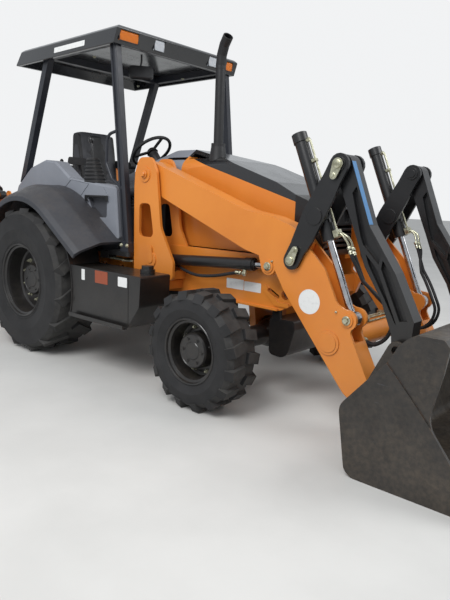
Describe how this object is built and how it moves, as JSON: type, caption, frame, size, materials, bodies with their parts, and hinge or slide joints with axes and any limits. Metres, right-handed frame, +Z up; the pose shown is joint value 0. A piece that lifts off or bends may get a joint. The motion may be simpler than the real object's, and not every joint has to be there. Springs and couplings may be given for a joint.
{
  "type": "backhoe loader",
  "caption": "Wheeled backhoe loader with an open canopy, a front loader bucket on parallel-lever arms and a rear swinging digging arm with stabilizers.",
  "frame": {"origin": "on the ground, halfway along the machine's length and on its middle line", "axes": "+X forward to the loader bucket, +Y to the machine's left, +Z up"},
  "size_m": [8.3408, 2.2298, 2.79],
  "materials": {
    "orange_paint": "gloss paint with fine dust",
    "black_paint": "satin black paint, scratched",
    "dark_panel": "dark grey moulded plastic",
    "pale_panel": "pale grey moulded plastic",
    "rim": "satin black paint",
    "tyre": "dusty black rubber",
    "chrome_rod": "polished hard chrome",
    "seat_vinyl": "grey vinyl",
    "lens": "clear lamp lens",
    "amber_lens": "amber lamp lens",
    "zinc": "yellow zinc plate",
    "exhaust_steel": "heat-resistant black"
  },
  "bodies": {
    "chassis": {"main_frame": "orange_paint", "engine_block": "black_paint", "rear_axle": "black_paint", "front_axle": "black_paint", "hood": "orange_paint", "hood_top": "dark_panel", "nose": "black_paint", "exhaust": "exhaust_steel", "canopy_roof": "dark_panel", "canopy_posts": "dark_panel", "cab_floor": "black_paint", "fender_flares": "dark_panel", "side_consoles": "pale_panel", "dash": "dark_panel", "cowl": "pale_panel", "seat": "seat_vinyl", "side_tanks": "black_paint", "hoe_frame": "orange_paint", "control_tower": "dark_panel", "lamps": "lens", "amber_lamps": "amber_lens"},
    "knuckle_left": {"knuckle_left": "black_paint"},
    "knuckle_right": {"knuckle_right": "black_paint"},
    "steering_link": {"steering_link": "zinc"},
    "wheel_front_left": {"rim_front_left": "rim", "tyre_front_left": "tyre"},
    "wheel_front_right": {"rim_front_right": "rim", "tyre_front_right": "tyre"},
    "wheel_rear_left": {"rim_rear_left": "rim", "tyre_rear_left": "tyre"},
    "wheel_rear_right": {"rim_rear_right": "rim", "tyre_rear_right": "tyre"},
    "loader_arms": {"loader_arms": "orange_paint"},
    "lift_barrels": {"lift_barrels": "black_paint"},
    "lift_rods": {"lift_rods": "chrome_rod"},
    "tilt_levers": {"tilt_levers": "black_paint"},
    "tilt_barrels": {"tilt_barrels": "black_paint"},
    "tilt_rods": {"tilt_rods": "chrome_rod"},
    "tilt_links": {"tilt_links": "black_paint"},
    "loader_bucket": {"loader_bucket": "black_paint"},
    "swing_post": {"swing_post": "orange_paint"},
    "boom": {"boom": "orange_paint"},
    "boom_barrel": {"boom_barrel": "black_paint"},
    "boom_rod": {"boom_rod": "chrome_rod"},
    "dipper_barrel": {"dipper_barrel": "black_paint"},
    "dipper_rod": {"dipper_rod": "chrome_rod"},
    "dipper": {"dipper": "orange_paint"},
    "bucket_barrel": {"bucket_barrel": "black_paint"},
    "bucket_rod": {"bucket_rod": "chrome_rod"},
    "rocker_links": {"rocker_links": "black_paint"},
    "push_link": {"push_link": "black_paint"},
    "hoe_bucket": {"hoe_bucket": "black_paint"},
    "stabilizer_left": {"stabilizer_left": "orange_paint"},
    "stabilizer_right": {"stabilizer_right": "orange_paint"},
    "stab_barrel_left": {"stab_barrel_left": "black_paint"},
    "stab_barrel_right": {"stab_barrel_right": "black_paint"},
    "stab_rod_left": {"stab_rod_left": "chrome_rod"},
    "stab_rod_right": {"stab_rod_right": "chrome_rod"}
  },
  "joints": [
    {"name": "wheel_rear_left", "type": "hinge", "parent": "chassis", "child": "wheel_rear_left", "pos_m": [-0.10308, 0.855, 0.66], "axis": [0, 1, 0], "continuous": true},
    {"name": "wheel_rear_right", "type": "hinge", "parent": "chassis", "child": "wheel_rear_right", "pos_m": [-0.10308, -0.855, 0.66], "axis": [0, 1, 0], "continuous": true},
    {"name": "steering", "type": "hinge", "parent": "chassis", "child": "knuckle_left", "pos_m": [2.05192, 0.73, 0.42], "axis": [0, 0, 1], "range_deg": [-38, 38]},
    {"name": "steering_right", "type": "hinge", "parent": "chassis", "child": "knuckle_right", "pos_m": [2.05192, -0.73, 0.42], "axis": [0, 0, 1], "range_deg": [-38.2, 38.2]},
    {"name": "steering_link_slide", "type": "slide", "parent": "chassis", "child": "steering_link", "axis": [0, 1, 0], "range_m": [-0.15, 0.15]},
    {"name": "wheel_front_left", "type": "hinge", "parent": "knuckle_left", "child": "wheel_front_left", "pos_m": [2.05192, 0.913, 0.42], "axis": [0, 1, 0], "continuous": true},
    {"name": "wheel_front_right", "type": "hinge", "parent": "knuckle_right", "child": "wheel_front_right", "pos_m": [2.05192, -0.913, 0.42], "axis": [0, 1, 0], "continuous": true},
    {"name": "loader_lift", "type": "hinge", "parent": "chassis", "child": "loader_arms", "pos_m": [1.11692, 0, 1.63], "axis": [0, -1, 0], "range_deg": [-3, 82]},
    {"name": "lift_barrel_turn", "type": "hinge", "parent": "chassis", "child": "lift_barrels", "pos_m": [1.19692, 0, 0.95], "axis": [0, -1, 0], "range_deg": [-2.71, 66.14]},
    {"name": "lift_rod_slide", "type": "slide", "parent": "lift_barrels", "child": "lift_rods", "axis": [0.9986, 0, 0.0531], "range_m": [-0.031, 0.7936]},
    {"name": "bucket_tilt", "type": "hinge", "parent": "loader_arms", "child": "loader_bucket", "pos_m": [3.15692, 0, 0.25], "axis": [0, 1, 0], "range_deg": [-35, 105]},
    {"name": "lever_turn", "type": "hinge", "parent": "loader_arms", "child": "tilt_levers", "pos_m": [2.56992, 0, 1.074], "axis": [0, 1, 0], "range_deg": [-23.05, 68.54]},
    {"name": "tilt_barrel_turn", "type": "hinge", "parent": "tilt_levers", "child": "tilt_barrels", "pos_m": [2.72692, 0, 1.369], "axis": [0, 1, 0], "range_deg": [-54.6, 18.4]},
    {"name": "tilt_rod_slide", "type": "slide", "parent": "tilt_barrels", "child": "tilt_rods", "axis": [0.3916, 0, -0.9201], "range_m": [-0.3647, 0.1229]},
    {"name": "tilt_link_turn", "type": "hinge", "parent": "tilt_levers", "child": "tilt_links", "pos_m": [2.87992, 0, 1.689], "axis": [0, 1, 0], "range_deg": [-61.68, 20.76]},
    {"name": "hoe_swing", "type": "hinge", "parent": "chassis", "child": "swing_post", "pos_m": [-1.58308, 0, 0.62], "axis": [0, 0, 1], "range_deg": [-90, 90]},
    {"name": "hoe_boom", "type": "hinge", "parent": "swing_post", "child": "boom", "pos_m": [-1.82308, 0, 0.62], "axis": [0, 1, 0], "range_deg": [-55, 55]},
    {"name": "boom_barrel_turn", "type": "hinge", "parent": "swing_post", "child": "boom_barrel", "pos_m": [-1.76308, 0, 0.84], "axis": [0, 1, 0], "range_deg": [-57.15, 57.15]},
    {"name": "boom_rod_slide", "type": "slide", "parent": "boom_barrel", "child": "boom_rod", "axis": [-0.8754, 0, 0.4833], "range_m": [-0.1908, 0.1908]},
    {"name": "hoe_dipper", "type": "hinge", "parent": "boom", "child": "dipper", "pos_m": [-3.91192, 0, 2.08262], "axis": [0, -1, 0], "range_deg": [-105, 8]},
    {"name": "dipper_barrel_turn", "type": "hinge", "parent": "boom", "child": "dipper_barrel", "pos_m": [-2.4931, 0, 1.40656], "axis": [0, -1, 0], "range_deg": [-3.82, 0.57]},
    {"name": "dipper_rod_slide", "type": "slide", "parent": "dipper_barrel", "child": "dipper_rod", "axis": [-0.8348, 0, 0.5506], "range_m": [-0.5315, 0.0423]},
    {"name": "hoe_bucket_curl", "type": "hinge", "parent": "dipper", "child": "hoe_bucket", "pos_m": [-3.67192, 0, 0.56262], "axis": [0, -1, 0], "range_deg": [-45, 95]},
    {"name": "rocker_turn", "type": "hinge", "parent": "dipper", "child": "rocker_links", "pos_m": [-3.72495, 0, 0.89846], "axis": [0, -1, 0], "range_deg": [-41.01, 86.25]},
    {"name": "push_link_turn", "type": "hinge", "parent": "rocker_links", "child": "push_link", "pos_m": [-4.05024, 0, 0.954], "axis": [0, -1, 0], "range_deg": [-80.04, 38.07]},
    {"name": "bucket_barrel_turn", "type": "hinge", "parent": "dipper", "child": "bucket_barrel", "pos_m": [-4.12637, 0, 1.99814], "axis": [0, -1, 0], "range_deg": [-2.56, 5.07]},
    {"name": "bucket_rod_slide", "type": "slide", "parent": "bucket_barrel", "child": "bucket_rod", "axis": [0.0727, 0, -0.9974], "range_m": [-0.2094, 0.4399]},
    {"name": "stabilizer_left", "type": "hinge", "parent": "chassis", "child": "stabilizer_left", "pos_m": [-1.27308, 0.4, 0.56], "axis": [-1, 0, 0], "range_deg": [0, 92]},
    {"name": "stab_barrel_left_turn", "type": "hinge", "parent": "chassis", "child": "stab_barrel_left", "pos_m": [-1.27308, 0.2, 1.3], "axis": [-1, 0, 0], "range_deg": [-0.3, 2.19]},
    {"name": "stab_rod_left_slide", "type": "slide", "parent": "stab_barrel_left", "child": "stab_rod_left", "axis": [0, 0.4827, -0.8758], "range_m": [-0.002, 0.3476]},
    {"name": "stabilizer_right", "type": "hinge", "parent": "chassis", "child": "stabilizer_right", "pos_m": [-1.27308, -0.4, 0.56], "axis": [1, 0, 0], "range_deg": [0, 92]},
    {"name": "stab_barrel_right_turn", "type": "hinge", "parent": "chassis", "child": "stab_barrel_right", "pos_m": [-1.27308, -0.2, 1.3], "axis": [1, 0, 0], "range_deg": [-0.3, 2.19]},
    {"name": "stab_rod_right_slide", "type": "slide", "parent": "stab_barrel_right", "child": "stab_rod_right", "axis": [0, -0.4827, -0.8758], "range_m": [-0.002, 0.3476]}
  ],
  "couplings": [
    {"joint": "steering_right", "follows": "steering", "ratio": 1},
    {"joint": "steering_link_slide", "follows": "steering", "m_per_rad": -0.21818},
    {"joint": "lift_barrel_turn", "follows": "loader_lift", "ratio": 0.80299},
    {"joint": "lift_rod_slide", "follows": "loader_lift", "m_per_rad": 0.55314},
    {"joint": "lever_turn", "follows": "bucket_tilt", "ratio": 0.64988},
    {"joint": "tilt_barrel_turn", "follows": "bucket_tilt", "ratio": -0.51715},
    {"joint": "tilt_rod_slide", "follows": "bucket_tilt", "m_per_rad": -0.19793},
    {"joint": "tilt_link_turn", "follows": "bucket_tilt", "ratio": -0.58459},
    {"joint": "boom_barrel_turn", "follows": "hoe_boom", "ratio": 1.0336},
    {"joint": "boom_rod_slide", "follows": "hoe_boom", "m_per_rad": -0.1967},
    {"joint": "dipper_barrel_turn", "follows": "hoe_dipper", "ratio": 0.03353},
    {"joint": "dipper_rod_slide", "follows": "hoe_dipper", "m_per_rad": 0.28895},
    {"joint": "rocker_turn", "follows": "hoe_bucket_curl", "ratio": 0.90478},
    {"joint": "push_link_turn", "follows": "hoe_bucket_curl", "ratio": -0.83939},
    {"joint": "bucket_barrel_turn", "follows": "hoe_bucket_curl", "ratio": 0.05023},
    {"joint": "bucket_rod_slide", "follows": "hoe_bucket_curl", "m_per_rad": 0.26412},
    {"joint": "stab_barrel_left_turn", "follows": "stabilizer_left", "ratio": 0.02056},
    {"joint": "stab_rod_left_slide", "follows": "stabilizer_left", "m_per_rad": 0.21524},
    {"joint": "stab_barrel_right_turn", "follows": "stabilizer_right", "ratio": 0.02056},
    {"joint": "stab_rod_right_slide", "follows": "stabilizer_right", "m_per_rad": 0.21524}
  ]
}
